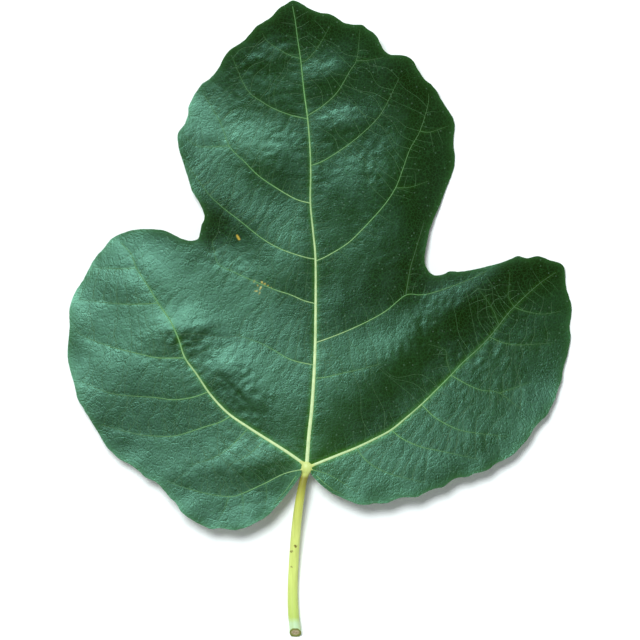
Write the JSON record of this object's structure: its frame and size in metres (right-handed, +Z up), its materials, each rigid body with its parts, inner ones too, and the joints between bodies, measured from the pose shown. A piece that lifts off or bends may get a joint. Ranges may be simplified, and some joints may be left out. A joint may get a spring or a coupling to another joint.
{
  "type": "fig leaf",
  "caption": "Lobed fig leaf with a toothed edge, creased veins and a bent stalk, lying upper side up on three low points of its edge and on the end of its stalk.",
  "frame": {"origin": "Centre of the leaf's bounding box in plan, on the surface that the leaf lies on.", "axes": "+Y runs from the cut end of the stalk to the tip of the blade, +X to the right seen from above, +Z up from the leaf's upper side."},
  "size_m": [0.1686, 0.2124, 0.0104],
  "materials": {
    "blade": "satin",
    "stalk": "satin"
  },
  "bodies": {
    "root": {"leaf_blade": "blade", "leaf_stalk": "stalk"}
  },
  "joints": []
}
